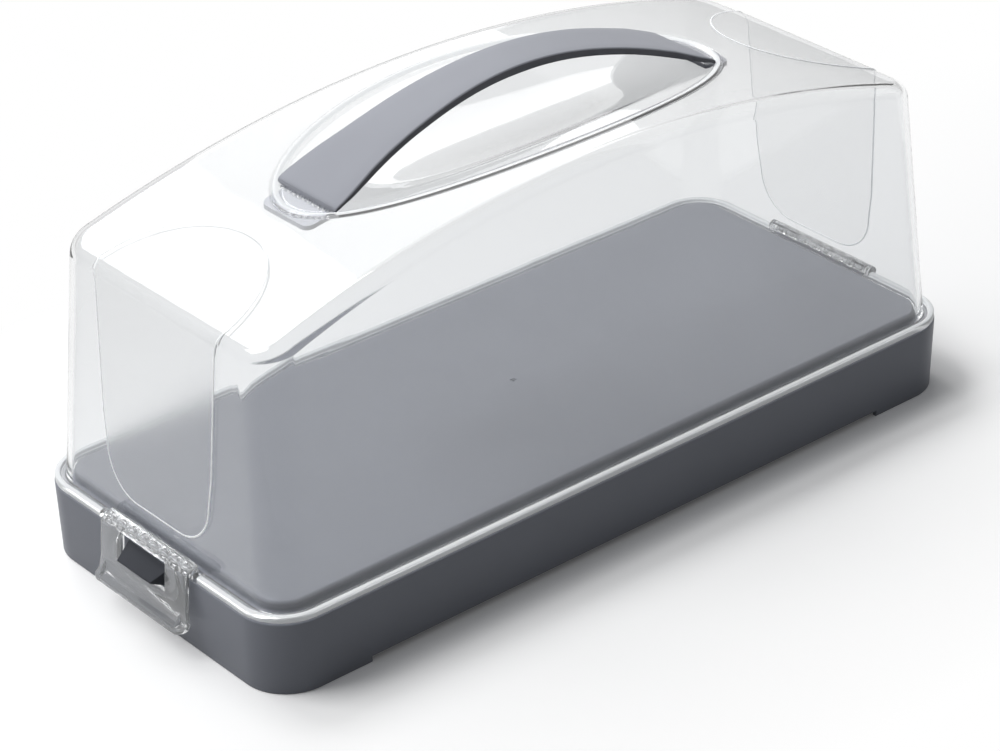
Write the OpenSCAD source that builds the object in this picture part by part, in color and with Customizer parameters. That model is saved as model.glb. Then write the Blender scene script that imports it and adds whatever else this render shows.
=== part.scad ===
// Loaf cake carrier: a grey serving base, a clear hood with a carrying strap,
// and a clear snap clip at each short end.
// The hood swings up about the rod that the right clip holds.

/* [Base] */
// Length of the base at its rim
base_len = 380; // [330:1:430]
// Width of the base at its rim
base_w = 165.8; // [150:0.2:200]
// Height of the base wall
rim_h = 33.5; // [30:0.5:42]
// Radius of the base corners, seen from above
corner_r = 22; // [18:0.5:28]
// How far the base wall leans in from the rim to the foot
base_draft = 0.9; // [0:0.1:2]
// Wall thickness of the base moulding
base_wall = 2.2; // [1.6:0.1:3]
// Height of the raised tray above the rim
tray_rise = 4.7; // [3:0.1:7]
// How far the tray stands in from the rim
tray_inset = 9.4; // [8.8:0.1:14]
// Height of the long slots that leave the corners as feet
foot_h = 3; // [1:0.5:6]
// Length of each corner foot along the long side
foot_len = 47.5; // [30:0.5:80]

/* [Hood] */
// Wall thickness of the hood
hood_wall = 2.2; // [1.6:0.1:2.4]
// How far the hood wall stands in from the base wall
hood_inset = 5.2; // [5:0.1:5.8]
// Height of the roof edge above the rim at the short ends
end_h = 110.5; // [80:0.5:150]
// How much higher the roof is at mid length
arch_h = 28.9; // [15:0.1:40]
// Lean of the short walls, as inward travel per unit of height
end_lean = 0.0615; // [0.03:0.0005:0.1]
// Lean of the long walls, as inward travel per unit of height
side_lean = 0.082; // [0.03:0.001:0.12]
// Radius of the hood's upright corners
hood_corner_r = 16; // [12:0.5:22]
// Radius along the roof edge
roof_edge_r = 7.5; // [5:0.5:9]

/* [Hood rim] */
// Width of the bead that runs round the hood's rim
bead_w = 2.6; // [2:0.1:3.2]
// Height of the bead above the base rim
bead_h = 3.2; // [2.4:0.1:4.5]
// Thickness of the rim flange
flange_t = 1.6; // [1.2:0.1:2.2]
// How far the bead stands in from the base wall
bead_inset = 0.3; // [0.1:0.05:0.6]
// Gap left under the flange so that the hood can swing
flange_lift = 0.2; // [0.1:0.05:0.4]

/* [Finger dish] */
// Length of the dish in the roof
dish_len = 224; // [200:1:240]
// Width of the dish in the roof
dish_w = 98; // [70:1:104]
// Depth of the flat ledge round the dish
ledge_d = 1.2; // [0.6:0.1:2]
// Depth of the bowl below the ledge
bowl_d = 6.8; // [3:0.1:10]

/* [Strap] */
// Width of the carrying strap at mid length
strap_w = 22.4; // [18:0.2:30]
// Width of the strap at its shoulders
shoulder_w = 38.4; // [32:0.2:40]
// Thickness of the strap at mid length
strap_t = 3.9; // [3.2:0.1:4.5]
// Thickness of the strap at its shoulders
shoulder_t = 3.1; // [2.4:0.1:3.5]
// Height of the strap's top above the roof at mid length
strap_rise = 18.8; // [14:0.1:26]
// Distance between the outer ends of the two slots under the strap
strap_span = 207; // [190:1:210]
// Length of the strap's hidden end beyond each slot
tab_len = 10.5; // [6:0.5:12]
// Width of the strap's hidden end
tab_w = 31; // [26:0.5:33]
// Thickness of the strap's hidden end
tab_t = 2; // [1.6:0.1:2.4]

/* [Clips] */
// Width of each clip
clip_w = 58.6; // [46:0.2:70]
// Thickness of the clip's plate
clip_t = 1.8; // [1.4:0.1:2.1]
// Height of the clip from the rod to the lower lip
clip_drop = 23.4; // [20:0.2:26]
// How far the lower lip stands out
lip_out = 6.2; // [4:0.1:8]
// Width of the clip's window
window_w = 30.4; // [26:0.2:36]
// Height of the clip's window
window_h = 13; // [11:0.2:14]
// Radius of the lip's outer corners, seen from above
lip_corner_r = 4; // [1:0.5:6]
// Number of hooks that grip the rod
hooks = 8; // [4:1:10]

/* [Hinge rods] */
// Radius of the rod that each clip turns on
rod_r = 1.4; // [1.2:0.05:1.5]
// Running clearance between the rod and the hooks
rod_gap = 0.06; // [0.02:0.01:0.1]
// Outer radius of the hooks
hook_r = 2.85; // [2.6:0.05:2.9]
// Distance from the rod's centre in to the base wall's face
rod_inset = 1; // [0.8:0.1:1.3]

/* [Catches] */
// Width of each catch where it meets the base wall
catch_w = 29.4; // [22:0.2:29.6]
// Width of each catch at its nose
nose_w = 22.8; // [16:0.2:26]
// How far each catch stands out from the base wall
catch_out = 8.3; // [6:0.1:8.5]

/* [Hidden] */
$fn = 64;

eps = 0.01;
seat_gap = 0.3;
base_grey = [0.33, 0.36, 0.40];
strap_grey = [0.42, 0.43, 0.46];
clear = [0.86, 0.90, 0.93, 0.35];

// hood footprint and roof
foot_x = base_len / 2 - hood_inset;
foot_y = base_w / 2 - hood_inset;
foot_r = hood_corner_r;
top_x = foot_x - end_lean * end_h;
end_z = rim_h + end_h;
crown_z = end_z + arch_h;
roof_r = (top_x * top_x + arch_h * arch_h) / (2 * arch_h);
roof_stations = 14;

// hinge rods
rod_x = base_len / 2 - rod_inset;
rod_z = rim_h + hook_r + 0.25;
rod_bore = rod_r + rod_gap;
cheek_r = hook_r - 0.2;
cheek_t = 2.4;
clip_gap = 0.4;

// clip plate
plate_out = 4;
lip_t = 1.5;
lip_rise = 1.2;
lip_sag = 0.2;
mouth_w = 1.6 * rod_r;
notch_share = 0.36;
notch_back = 0.6;
window_top = 0.3;
window_bottom = window_top + window_h;

// tray and catches
tray_x = base_len / 2 - tray_inset;
tray_y = base_w / 2 - tray_inset;
tray_r = corner_r - tray_inset;
catch_gap = 0.5;
nose_t = 0.6;
catch_top = rim_h - flange_lift;
catch_bottom = rod_z - window_bottom + catch_gap;
catch_nose = catch_bottom + 3.5;

// dish
dish_x = dish_len / 2;
dish_y = dish_w / 2;
bowl_edge = 0.9;
dish_rings = [1, 0.94, bowl_edge, 0.8, 0.66, 0.5, 0.33, 0.16];
dish_sides = 48;

// strap
slot_x = strap_span / 2;
slot_len = 4.8;
slot_gap = 0.4;
strap_top = crown_z + strap_rise;
tab_drop = ledge_d + hood_wall + seat_gap;
neck_len = 3;
arc_x = slot_x - 1;
arc_end_z = roof_z(arc_x) - ledge_d + shoulder_t + seat_gap;
arch_pull = 1.22;
strap_steps = 28;
// share of the strap's flare and of its thinning, from mid length (0) to its shoulders (1)
flare = [[0, 0], [0.24, 0.07], [0.48, 0.26], [0.7, 0.48], [0.88, 0.88], [0.96, 1], [1, 1]];
thinning = [[0, 0], [0.6, 1], [1, 1]];
shoulder_y = min(shoulder_w / 2, dish_y * sqrt(max(0.1, 1 - pow(arc_x / dish_x, 2))) - seat_gap);

// Height of the roof over a place along the length
function roof_z(x) = crown_z - roof_r + sqrt(roof_r * roof_r - x * x);

// Slope of the roof there, in degrees
function roof_tilt(x) = asin(x / roof_r);

// Depth of the dish below the roof, from its middle (0) to its outline (1)
function dish_depth(u) =
    min(ledge_d, 20 * ledge_d * (1 - u))
    + (u < bowl_edge ? bowl_d * (1 - pow(u / bowl_edge, 2)) : 0);

// Height of the strap's top face along its arch, which straightens towards its shoulders
function arch_z(x) =
    let (u = pow(x / arc_x, 2))
    strap_top - (strap_top - arc_end_z) * u * (arch_pull - (arch_pull - 1) * u);

// Half width of the strap along its arch
function strap_y(x) = strap_w / 2 + (shoulder_y - strap_w / 2) * lookup(abs(x) / arc_x, flare);

// Thickness of the strap along its arch
function strap_depth(x) = strap_t + (shoulder_t - strap_t) * lookup(abs(x) / arc_x, thinning);

// Flat outline with four round corners
module rounded_rect(half_x, half_y, r) {
    square([2 * (half_x - r), 2 * half_y], center = true);
    square([2 * half_x, 2 * (half_y - r)], center = true);
    for (sx = [-1, 1], sy = [-1, 1])
        translate([sx * (half_x - r), sy * (half_y - r)]) circle(r = r);
}

// Block with round corners whose walls lean in by lean towards its foot
module leaning_block(half_x, half_y, r, h, lean) {
    hull() {
        linear_extrude(height = eps)
            rounded_rect(half_x - lean, half_y - lean, r - lean, $fn = 48);
        translate([0, 0, h - eps])
            linear_extrude(height = eps) rounded_rect(half_x, half_y, r, $fn = 48);
    }
}

// One snap catch on the wall at the +X end
module catch() {
    hull() {
        translate([base_len / 2 - base_wall / 2, -catch_w / 2, catch_bottom])
            cube([eps, catch_w, catch_top - catch_bottom]);
        translate([base_len / 2 + catch_out, -nose_w / 2, catch_nose])
            cube([eps, nose_w, nose_t]);
    }
}

module base_tray() {
    color(base_grey) {
        difference() {
            leaning_block(base_len / 2, base_w / 2, corner_r, rim_h, base_draft);
            translate([0, 0, -base_wall])
                leaning_block(base_len / 2 - base_wall, base_w / 2 - base_wall,
                              corner_r - base_wall, rim_h, base_draft);
            translate([0, 0, -eps])
                linear_extrude(height = rim_h + 2 * eps)
                    rounded_rect(tray_x - base_wall, tray_y - base_wall, tray_r - base_wall);
            translate([-base_len / 2 + foot_len, -base_w, -eps])
                cube([base_len - 2 * foot_len, 2 * base_w, foot_h + eps]);
        }
        difference() {
            translate([0, 0, rim_h - base_wall])
                linear_extrude(height = tray_rise + base_wall) rounded_rect(tray_x, tray_y, tray_r);
            translate([0, 0, rim_h - base_wall - eps])
                linear_extrude(height = tray_rise + eps)
                    rounded_rect(tray_x - base_wall, tray_y - base_wall, tray_r - base_wall);
        }
        for (side = [0, 1]) mirror([side, 0, 0]) catch();
    }
}

// Solid form of the hood: leaning walls, round corners and an arched roof.
// The form is drawn in by skin on every side.
module hood_form(skin = 0) {
    edge = roof_edge_r - skin;
    hull() {
        translate([0, 0, rim_h - (skin > 0 ? eps : 0)])
            linear_extrude(height = eps)
                rounded_rect(foot_x - skin, foot_y - skin, foot_r - skin, $fn = 32);
        for (i = [0 : roof_stations], sy = [-1, 1]) {
            x = (top_x - hood_corner_r) * (2 * i / roof_stations - 1);
            z = roof_z(x);
            y = foot_y - side_lean * (z - rim_h) - roof_edge_r;
            translate([x, sy * y, z - roof_edge_r])
                rotate([0, 90, 0]) cylinder(r = edge, h = eps, $fn = 32);
        }
        for (sx = [-1, 1], sy = [-1, 1]) {
            x = top_x - hood_corner_r;
            z = roof_z(x);
            y = foot_y - side_lean * (z - rim_h) - hood_corner_r;
            translate([sx * x, sy * y, z - roof_edge_r])
                rotate([0, sx * roof_tilt(x), 0])
                    rotate_extrude($fn = 32)
                        translate([hood_corner_r - roof_edge_r, 0]) circle(r = edge, $fn = 24);
        }
    }
}

// Lens-shaped dish under the strap. It is grown sideways and down by skin.
module dish_form(skin = 0) {
    n = dish_sides;
    rings = len(dish_rings);
    top_ring = [for (i = [0 : n - 1])
        let (a = 360 * i / n)
        [(dish_x + skin) * cos(a), (dish_y + skin) * sin(a), crown_z + roof_edge_r]];
    floor_rings = [for (u = dish_rings, i = [0 : n - 1])
        let (a = 360 * i / n, x = (dish_x + skin) * u * cos(a))
        [x, (dish_y + skin) * u * sin(a), roof_z(x) - dish_depth(u) - skin]];
    middle = [[0, 0, crown_z - dish_depth(0) - skin]];
    last = n * rings;
    polyhedron(
        points = concat(top_ring, floor_rings, middle),
        faces = concat(
            [[for (i = [0 : n - 1]) n - 1 - i]],
            [for (k = [0 : rings - 1], i = [0 : n - 1])
                let (j = (i + 1) % n) [k * n + i, k * n + j, (k + 1) * n + j]],
            [for (k = [0 : rings - 1], i = [0 : n - 1])
                let (j = (i + 1) % n) [k * n + i, (k + 1) * n + j, (k + 1) * n + i]],
            [for (i = [0 : n - 1]) [last + i, last + (i + 1) % n, last + n]]
        )
    );
}

// Rim of the hood: a flat flange with a bead along its outer edge
module hood_rim() {
    out_x = base_len / 2 - bead_inset;
    out_y = base_w / 2 - bead_inset;
    out_r = corner_r - bead_inset;
    translate([0, 0, rim_h + flange_lift])
        linear_extrude(height = flange_t) rounded_rect(out_x, out_y, out_r);
    difference() {
        translate([0, 0, rim_h + flange_lift])
            linear_extrude(height = bead_h - flange_lift) rounded_rect(out_x, out_y, out_r);
        translate([0, 0, rim_h])
            linear_extrude(height = bead_h + eps)
                rounded_rect(out_x - bead_w, out_y - bead_w, out_r - bead_w);
    }
}

// The rod for the clip at the +X end, with a cheek at each end of it
module hinge_rod() {
    half = clip_w / 2 + clip_gap;
    translate([rod_x, 0, rod_z]) rotate([90, 0, 0]) {
        cylinder(r = rod_r, h = 2 * half + cheek_t, center = true);
        for (sy = [-1, 1])
            translate([0, 0, sy * (half + cheek_t / 2)])
                cylinder(r = cheek_r, h = cheek_t, center = true);
    }
}

module hood() {
    half = clip_w / 2 + clip_gap;
    color(clear) {
        difference() {
            union() {
                difference() {
                    union() {
                        hood_form();
                        hood_rim();
                    }
                    hood_form(hood_wall);
                    // room for the clips between the cheeks
                    for (side = [0, 1]) mirror([side, 0, 0])
                        translate([foot_x + seat_gap, -half, rim_h])
                            cube([4 * hook_r, 2 * half, 2 * bead_h]);
                }
                intersection() {
                    hood_form();
                    dish_form(hood_wall);
                }
            }
            dish_form();
            // slots for the strap
            for (sx = [-1, 1])
                translate([sx * (slot_x - slot_len / 2), 0, roof_z(slot_x)])
                    cube([slot_len, tab_w + 2 * slot_gap, 4 * roof_edge_r], center = true);
        }
        for (side = [0, 1]) mirror([side, 0, 0]) hinge_rod();
    }
}

// Side view of the strap's arch
module arch_profile() {
    xs = [for (i = [0 : strap_steps]) arc_x * (2 * i / strap_steps - 1)];
    polygon(concat(
        [for (x = xs) [x, arch_z(x)]],
        [for (i = [0 : strap_steps]) let (x = -xs[i]) [x, arch_z(x) - strap_depth(x)]]
    ));
}

// Top view of the strap's arch, which widens to its shoulders
module arch_plan() {
    xs = [for (i = [0 : strap_steps]) arc_x * (2 * i / strap_steps - 1)];
    polygon(concat([for (x = xs) [x, strap_y(x)]], [for (x = xs) [-x, -strap_y(x)]]));
}

// Side view of the strap's neck at +X and of the hidden end behind it
module tab_profile() {
    neck_x = arc_x - neck_len;
    reach = slot_x + tab_len;
    polygon([
        [neck_x, arc_end_z - 1], [arc_x, arc_end_z - 1],
        [arc_x, roof_z(arc_x) - tab_drop], [reach, roof_z(reach) - tab_drop],
        [reach, roof_z(reach) - tab_drop - tab_t], [neck_x, roof_z(neck_x) - tab_drop - tab_t]
    ]);
}

module carry_strap() {
    color(strap_grey) {
        intersection() {
            rotate([90, 0, 0])
                linear_extrude(height = 2 * shoulder_w, center = true) arch_profile();
            translate([0, 0, rim_h]) linear_extrude(height = strap_top) arch_plan();
        }
        for (side = [0, 1]) mirror([side, 0, 0])
            rotate([90, 0, 0]) linear_extrude(height = tab_w, center = true) tab_profile();
    }
}

// Side view of a clip at the +X end: top skin, plate and lower lip, with the
// rod's centre at the origin
module clip_outline() {
    plate_in = plate_out - clip_t;
    tip = plate_out + lip_out;
    polygon([
        [0, 0], [0.3, hook_r - 0.1], [plate_out - 1.4, hook_r - 0.7], [plate_out - 0.3, 1.2],
        [plate_out, 0], [plate_out, lip_rise - clip_drop], [tip, -clip_drop - lip_sag],
        [tip, -clip_drop - lip_sag - lip_t], [plate_in, -clip_drop - lip_t / 2], [plate_in, 0]
    ]);
}

// The clip at the +X end: a plate that hangs from hooks round the rod
module clip() {
    pitch = clip_w / hooks;
    notch = pitch * notch_share;
    difference() {
        intersection() {
            translate([rod_x, 0, rod_z]) rotate([90, 0, 0]) {
                cylinder(r = hook_r, h = 2 * clip_w, center = true);
                linear_extrude(height = 2 * clip_w, center = true) clip_outline();
            }
            linear_extrude(height = rod_z + 2 * hook_r)
                rounded_rect(rod_x + plate_out + lip_out, clip_w / 2, lip_corner_r);
        }
        // bore for the rod, and the mouth through which the hooks snap over it
        translate([rod_x, 0, rod_z]) rotate([90, 0, 0]) {
            cylinder(r = rod_bore, h = 2 * clip_w, center = true);
            rotate(225) translate([hook_r, 0, 0])
                cube([2 * hook_r, mouth_w, 2 * clip_w], center = true);
        }
        // window that the catch comes through
        translate([rod_x + plate_out - clip_t - 0.1, -window_w / 2, rod_z - window_bottom])
            cube([2 * clip_t, window_w, window_h]);
        // gaps between the hooks
        for (i = [1 : hooks - 1])
            translate([rod_x - 2 * hook_r, i * pitch - clip_w / 2 - notch / 2, rod_z - 2 * hook_r])
                cube([2 * hook_r - notch_back, notch, 4 * hook_r]);
    }
}

module right_clip() {
    color(clear) clip();
}

module left_clip() {
    color(clear) mirror([1, 0, 0]) clip();
}

base_tray();
hood();
carry_strap();
left_clip();
right_clip();
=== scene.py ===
"""Loaf cake carrier: grey serving base, clear arched hood, carrying strap and two clear snap clips."""

import math

import bmesh
import bpy
from bpy.props import FloatProperty, FloatVectorProperty, IntProperty, PointerProperty
from mathutils import Matrix, Vector


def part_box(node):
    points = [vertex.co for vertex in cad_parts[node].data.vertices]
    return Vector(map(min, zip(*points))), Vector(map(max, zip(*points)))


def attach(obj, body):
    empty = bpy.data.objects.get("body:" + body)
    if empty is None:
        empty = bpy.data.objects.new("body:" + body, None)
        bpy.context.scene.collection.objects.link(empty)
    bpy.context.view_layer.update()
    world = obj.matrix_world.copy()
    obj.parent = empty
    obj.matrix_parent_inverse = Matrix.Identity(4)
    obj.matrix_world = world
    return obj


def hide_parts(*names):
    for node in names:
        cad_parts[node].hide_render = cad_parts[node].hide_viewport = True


bl_info = {
    "name": "Cake carrier",
    "version": (1, 0, 0),
    "blender": (4, 5, 0),
    "location": "3D View > Sidebar > Carrier",
    "description": "Builds the looks of a clear cake carrier round its packed solids",
    "category": "Add Mesh",
}

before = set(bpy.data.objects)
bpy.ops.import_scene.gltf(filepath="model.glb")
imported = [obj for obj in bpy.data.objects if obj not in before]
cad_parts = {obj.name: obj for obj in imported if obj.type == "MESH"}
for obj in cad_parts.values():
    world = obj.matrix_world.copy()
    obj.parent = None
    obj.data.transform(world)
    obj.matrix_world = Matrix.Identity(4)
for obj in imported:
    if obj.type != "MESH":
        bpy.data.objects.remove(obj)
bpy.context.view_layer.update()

MM = 0.001
BASE_LOW, BASE_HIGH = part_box("base_tray")
HOOD_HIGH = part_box("hood")[1]
STRAP_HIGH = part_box("carry_strap")[1]
CLIP_LOW, CLIP_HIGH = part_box("right_clip")


# ---------------------------------------------------------------- sizes and colours


def length(name, default, description):
    """A property that holds a length in metres."""
    return FloatProperty(
        name=name, default=default, description=description, unit="LENGTH", precision=5
    )


def colour(name, default, description):
    """A property that holds a linear colour."""
    return FloatVectorProperty(
        name=name, default=default, description=description, subtype="COLOR", min=0, max=1
    )


class BaseSizes(bpy.types.PropertyGroup):
    """Sizes of the serving base."""

    rim_length: length("Rim length", 380 * MM, "Length of the base at its rim")
    rim_width: length("Rim width", BASE_HIGH.y - BASE_LOW.y, "Width of the base at its rim")
    rim_height: length("Rim height", 33.5 * MM, "Height of the base wall")
    corner: length("Corner radius", 22 * MM, "Radius of the base corners in plan")
    draft: length("Draft", 0.9 * MM, "How far the wall leans in towards its foot")
    wall: length("Wall", 2.2 * MM, "Wall thickness of the moulding")
    tray_inset: length("Tray inset", 9.4 * MM, "How far the raised tray stands in from the rim")
    tray_top: length("Tray top", BASE_HIGH.z, "Height of the raised tray")
    foot_height: length("Foot height", 3 * MM, "Height of the slots between the corner feet")
    foot_length: length("Foot length", 47.5 * MM, "Length of each corner foot")
    catch_width: length("Catch width", 29.4 * MM, "Width of a catch at the wall")
    nose_width: length("Nose width", 22.8 * MM, "Width of a catch at its nose")
    catch_top: length("Catch top", 33.3 * MM, "Height of a catch's upper edge at the wall")
    catch_foot: length("Catch foot", 23.8 * MM, "Height of a catch's lower edge at the wall")
    nose_height: length("Nose height", 27.3 * MM, "Height of the lower edge of a catch's nose")


class HoodSizes(bpy.types.PropertyGroup):
    """Sizes of the clear hood."""

    wall: length("Wall", 2.2 * MM, "Wall thickness of the hood")
    inset: length("Inset", 5.2 * MM, "How far the wall's foot stands in from the base wall")
    end_height: length("End height", 110.5 * MM, "Height of the roof's end edge above the rim")
    crown: length("Crown", HOOD_HIGH.z, "Height of the roof at mid length")
    end_lean: FloatProperty(name="End lean", default=0.0615, description="Inward lean of the short walls")
    side_lean: FloatProperty(name="Side lean", default=0.082, description="Inward lean of the long walls")
    corner: length("Corner radius", 16 * MM, "Radius of the upright corners")
    roof_edge: length("Roof edge", 7.5 * MM, "Radius along the roof's edge")
    bead_width: length("Bead width", 2.6 * MM, "Width of the bead round the rim")
    bead_height: length("Bead height", 3.2 * MM, "Height of the bead above the base rim")
    bead_inset: length("Bead inset", 0.3 * MM, "How far the bead stands in from the base wall")
    flange: length("Flange", 1.6 * MM, "Thickness of the rim flange")
    dish_length: length("Dish length", 224 * MM, "Length of the finger dish")
    dish_width: length("Dish width", 98 * MM, "Width of the finger dish")
    ledge_depth: length("Ledge depth", 1.2 * MM, "Depth of the ledge round the dish")
    bowl_depth: length("Bowl depth", 6.8 * MM, "Depth of the bowl below its ledge")
    ledge_width: length("Ledge width", 10.5 * MM, "Width of the ledge round the bowl")
    panel_step: length("Panel step", 0.45 * MM, "How far the end panels stand proud of the wall")
    panel_rib: length("Panel rib", 0.42 * MM, "Radius of the rib round each end panel")


class StrapSizes(bpy.types.PropertyGroup):
    """Sizes of the carrying strap."""

    middle_width: length("Middle width", 22.4 * MM, "Width of the strap at mid length")
    shoulder_width: length("Shoulder width", 38.4 * MM, "Width of the strap at its shoulders")
    middle_depth: length("Middle depth", 3.9 * MM, "Thickness of the strap at mid length")
    shoulder_depth: length("Shoulder depth", 3.1 * MM, "Thickness of the strap at its shoulders")
    top: length("Top", STRAP_HIGH.z, "Height of the strap's top at mid length")
    slot: length("Slot", 103.5 * MM, "Distance from the middle to the outer edge of a slot")
    slot_length: length("Slot length", 4.8 * MM, "Length of a slot")
    tab_width: length("Tab width", 31 * MM, "Width of the hidden ends")
    tab_depth: length("Tab depth", 2 * MM, "Thickness of the hidden ends")
    tab_round: length("Tab corner", 4 * MM, "Radius of the corners of the hidden ends")


class ClipSizes(bpy.types.PropertyGroup):
    """Sizes of the snap clips and of the rods that they turn on."""

    width: length("Width", CLIP_HIGH.y - CLIP_LOW.y, "Width of a clip")
    plate: length("Plate", 1.8 * MM, "Thickness of the plate")
    drop: length("Drop", 23.4 * MM, "Height from the rod down to the lip's fold")
    lip: length("Lip", 6.2 * MM, "How far the lip stands out from the plate")
    window_width: length("Window width", 30.4 * MM, "Width of the window")
    window_height: length("Window height", 13 * MM, "Height of the window")
    hooks: IntProperty(name="Hooks", default=8, min=2, description="Number of hooks round the rod")
    rod_x: length("Rod place", 189 * MM, "Distance of each rod from mid length")
    rod_z: length("Rod height", 36.6 * MM, "Height of each rod")
    rod: length("Rod radius", 1.4 * MM, "Radius of each rod")
    bore: length("Bore radius", 1.46 * MM, "Radius of the bore in the hooks")
    hook: length("Hook radius", 2.85 * MM, "Outer radius of the hooks")
    plate_out: length("Plate place", 4 * MM, "Distance from the rod to the plate's outer face")


class Finishes(bpy.types.PropertyGroup):
    """Colours of the plastics and the floor."""

    base: colour("Base", (0.205, 0.216, 0.248), "Slate grey of the serving base")
    strap: colour("Strap", (0.315, 0.325, 0.362), "Paler grey of the strap")
    clear: colour("Clear", (0.908, 0.915, 0.92), "Tint of the clear plastic")
    floor: colour("Floor", (1.0, 1.0, 1.0), "White of the floor")


# ---------------------------------------------------------------- shader building


class Wire:
    """A shader socket whose arithmetic in Python adds Math nodes."""

    def __init__(self, tree, socket):
        self.tree = tree
        self.socket = socket

    def maths(self, operation, *values):
        node = self.tree.nodes.new("ShaderNodeMath")
        node.operation = operation
        for place, value in zip(node.inputs, values):
            feed(self.tree, place, value)
        return Wire(self.tree, node.outputs[0])

    def __add__(self, other):
        return self.maths("ADD", self, other)

    __radd__ = __add__

    def __mul__(self, other):
        return self.maths("MULTIPLY", self, other)

    __rmul__ = __mul__

    def __sub__(self, other):
        return self.maths("SUBTRACT", self, other)

    def __rsub__(self, other):
        return self.maths("SUBTRACT", other, self)

    def either(self, other):
        return self.maths("MAXIMUM", self, other)

    def at_most(self, limit):
        return self.maths("MINIMUM", self, limit)


def feed(tree, place, value):
    """Puts a number, a colour, a Wire or a socket on an input."""
    if isinstance(value, Wire):
        value = value.socket
    if isinstance(value, bpy.types.NodeSocket):
        tree.links.new(value, place)
    else:
        place.default_value = value


class Shader:
    """A node tree that is built by naming node types, settings and inputs."""

    def __init__(self, tree):
        self.tree = tree
        tree.nodes.clear()

    def node(self, kind, settings=None, *values, **named):
        """Adds a node, sets its settings, then its inputs in order or by name, and gives its outputs.

        An input whose value is None stays as it is.
        """
        node = self.tree.nodes.new("ShaderNode" + kind)
        for name, value in (settings or {}).items():
            setattr(node, name, value)
        for place, value in zip(node.inputs, values):
            if value is not None:
                feed(self.tree, place, value)
        for name, value in named.items():
            feed(self.tree, node.inputs[name.replace("_", " ")], value)
        return node.outputs

    def wire(self, kind, output, settings=None, **named):
        return Wire(self.tree, self.node(kind, settings, **named)[output])

    def noise(self, scale, detail=2.0, roughness=0.5):
        """Grey noise that is fixed to the object. Scale is in features per metre."""
        place = self.node("TexCoord")["Object"]
        return self.wire(
            "TexNoise", 0, Vector=place, Scale=scale, Detail=detail, Roughness=roughness
        )

    def simple(self, kind, colour, **named):
        """A lamp-like or plain shader that has little more than a colour."""
        return self.node(kind, Color=(*colour, 1.0), **named)[0]

    def blend_colours(self, factor, first, second):
        unused = [None] * 5  # the Mix node's inputs for numbers and vectors
        colours = (*first, 1.0), (*second, 1.0)
        return self.node("Mix", {"data_type": "RGBA"}, factor, *unused, *colours)[2]

    def blend_shaders(self, factor, first, second):
        return self.node("MixShader", None, factor, first, second)["Shader"]

    def add_shaders(self, first, second):
        return self.node("AddShader", None, first, second)["Shader"]

    def ray(self, kind):
        """1 for rays of this kind and 0 for the rest."""
        return self.wire("LightPath", f"Is {kind} Ray")

    def finish(self, surface, output="OutputMaterial"):
        self.node(output, Surface=surface)


def new_material(name):
    material = bpy.data.materials.new(name)
    material.use_nodes = True
    return material


def shaded(base_colour, share):
    """The colour made lighter or darker by a share."""
    return tuple(channel * share for channel in base_colour)


def moulded_plastic(name, tint, roughness, grain, gloss=0.3):
    """Opaque satin plastic with a fine moulded grain, faint mottling and slight wear in its gloss."""
    material = new_material(name)
    shader = Shader(material.node_tree)
    mottle = shader.noise(35, detail=3)
    wear = shader.noise(140, detail=4, roughness=0.65)
    fine = shader.noise(2600, detail=1)
    tone = shader.blend_colours(mottle, shaded(tint, 0.95), shaded(tint, 1.05))
    bump = shader.node("Bump", Strength=grain, Distance=0.05 * MM, Height=fine)["Normal"]
    surface = shader.node(
        "BsdfPrincipled",
        Base_Color=tone,
        Roughness=wear * 0.12 + fine * 0.05 + (roughness - 0.08),
        IOR=1.49,
        Specular_IOR_Level=gloss,
        Normal=bump,
    )["BSDF"]
    shader.finish(surface)
    return material


def clear_plastic(name, tint, roughness=0.004, milk=0.0, shade=0.99, painted_glow=0.0):
    """Clear moulded plastic that bends what is seen through it and lets lamps light what is behind it.

    milk is the share of light that the plastic scatters white, and shade the light that each face of it
    lets through to what lies in its shadow. The last number sets a painted glow: emission that stands in
    for the light that comes out of a milky edge.
    """
    material = new_material(name)
    shader = Shader(material.node_tree)
    place = shader.node("TexCoord")["Object"]
    facing = shader.node("NewGeometry")["Normal"]
    # the two faces of a wall look up the noise at different places, so that they ripple apart
    apart = shader.node("VectorMath", {"operation": "SCALE"}, Vector=facing, Scale=0.05)["Vector"]
    here = shader.node("VectorMath", {"operation": "ADD"}, place, apart)["Vector"]
    swirl = shader.wire("TexNoise", 0, Vector=here, Scale=26.0, Detail=1.0)
    haze = shader.noise(60, detail=3)
    bump = shader.node("Bump", Strength=1.0, Distance=0.12 * MM, Height=swirl)["Normal"]
    glass = shader.node(
        "BsdfPrincipled",
        Base_Color=(*tint, 1.0),
        Roughness=haze * 0.02 + roughness,
        IOR=1.49,
        Transmission_Weight=1.0,
        Normal=bump,
    )["BSDF"]
    if milk:
        white = shader.simple("BsdfDiffuse", (0.92, 0.94, 0.95), Normal=bump)
        # painted glow: emission that makes the milky part shine though it is no lamp
        bright = shader.simple("Emission", (0.96, 0.98, 1.0), Strength=painted_glow)
        glass = shader.blend_shaders(milk, glass, shader.add_shaders(white, bright))
    open_air = shader.simple("BsdfTransparent", [shade] * 3)
    lit_through = shader.ray("Shadow").either(shader.ray("Diffuse"))
    shader.finish(shader.blend_shaders(lit_through, glass, open_air))
    return material


# ---------------------------------------------------------------- mesh building


def plan_columns(side_steps=72, end_steps=28, corner_steps=14):
    """Places round a rounded rectangle: shares of its straight half-sides, and the way out."""
    columns = []
    for quarter, (sx, sy) in enumerate(((1, 1), (-1, 1), (-1, -1), (1, -1))):
        for k in range(corner_steps + 1):
            angle = math.radians(90 * (quarter + k / corner_steps))
            columns.append((sx, sy, math.cos(angle), math.sin(angle)))
        along_x = quarter % 2 == 0
        steps = side_steps if along_x else end_steps
        for k in range(1, steps):
            share = 1 - 2 * k / steps
            columns.append((sx * share, sy, 0, sy) if along_x else (sx, sy * share, sx, 0))
    return columns


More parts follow.
